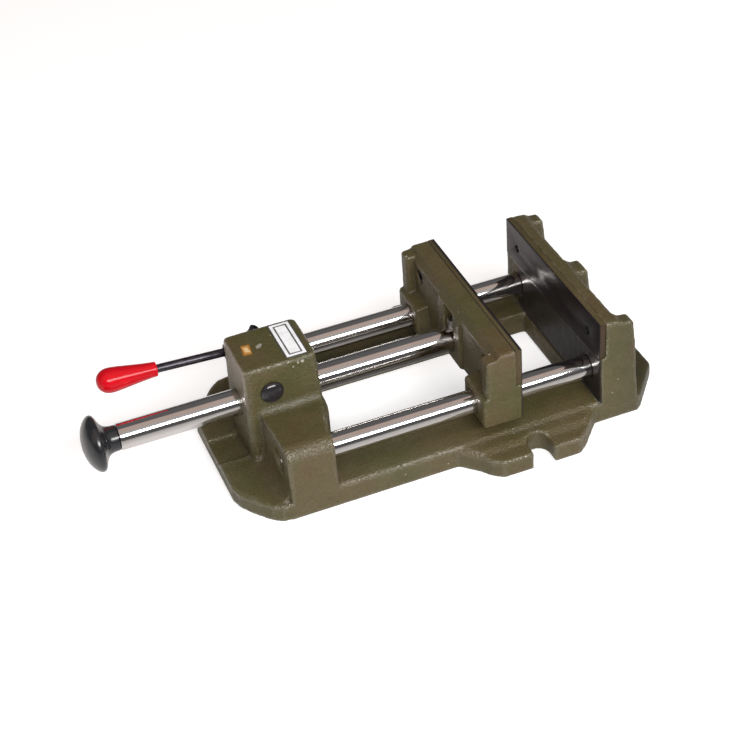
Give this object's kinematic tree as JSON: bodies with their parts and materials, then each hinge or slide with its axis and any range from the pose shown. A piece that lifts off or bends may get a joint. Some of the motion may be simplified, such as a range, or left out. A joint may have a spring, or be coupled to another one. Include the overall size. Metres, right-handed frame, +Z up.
{
  "type": "quick-release drill press vise",
  "caption": "Low cast-iron vise with a sliding jaw on round guide bars, a push bar with palm knob, and a side lever that clamps by tipping grip plates on the bar.",
  "frame": {"origin": "underside of the base, mid-width, straight below the gripping face of the fixed jaw plate", "axes": "+X along the bars from the palm knob to the fixed jaw, +Y towards the lever side, +Z up"},
  "size_m": [0.4095, 0.204, 0.0904],
  "materials": {
    "olive_paint": "semi-gloss paint over rough cast iron",
    "jaw_steel": "ground steel, blackened",
    "black_oxide": "black oxide",
    "bar_chrome": "hard chrome, polished",
    "bright_steel": "machined",
    "black_plastic": "gloss",
    "red_grip": "gloss",
    "white_label": "satin film",
    "orange_label": "satin film"
  },
  "bodies": {
    "base": {"base_casting": "olive_paint", "fixed_jaw_plate": "jaw_steel", "fixed_plate_screws": "black_oxide", "guide_bar_near": "bar_chrome", "guide_bar_far": "bar_chrome", "guide_bar_set_screws": "black_oxide", "shaft_bore_plug": "black_plastic", "fulcrum_pin": "bright_steel", "plate_spring": "bright_steel", "hub_washer": "bright_steel", "label_plate": "white_label", "orange_sticker": "orange_label"},
    "moving_jaw_group": {"moving_jaw": "olive_paint", "moving_jaw_plate": "jaw_steel", "moving_plate_screws": "black_oxide", "push_bar": "bar_chrome", "push_bar_set_screw": "bright_steel", "knob": "black_plastic", "knob_stud": "bright_steel"},
    "lever_group": {"cam_shaft": "bright_steel", "shaft_retaining_ring": "bright_steel", "lever_hub": "black_oxide", "hub_screw": "black_oxide", "lever_rod": "black_oxide", "lever_grip": "red_grip"},
    "grip_group": {"grip_plates": "bright_steel"}
  },
  "joints": [
    {"name": "jaw_slide", "type": "slide", "parent": "base", "child": "moving_jaw_group", "axis": [1, 0, 0], "range_m": [-0.1, 0.0585]},
    {"name": "lever_swing", "type": "hinge", "parent": "base", "child": "lever_group", "pos_m": [-0.222, 0, 0.0686], "axis": [0, 1, 0], "range_deg": [0, 80]},
    {"name": "plate_tilt", "type": "hinge", "parent": "base", "child": "grip_group", "pos_m": [-0.2018, 0, 0.031], "axis": [0, 1, 0], "range_deg": [0, 1], "deforming": ["plate_spring"]}
  ],
  "couplings": [
    {"joint": "plate_tilt", "follows": "lever_swing", "ratio": 0.0125}
  ]
}
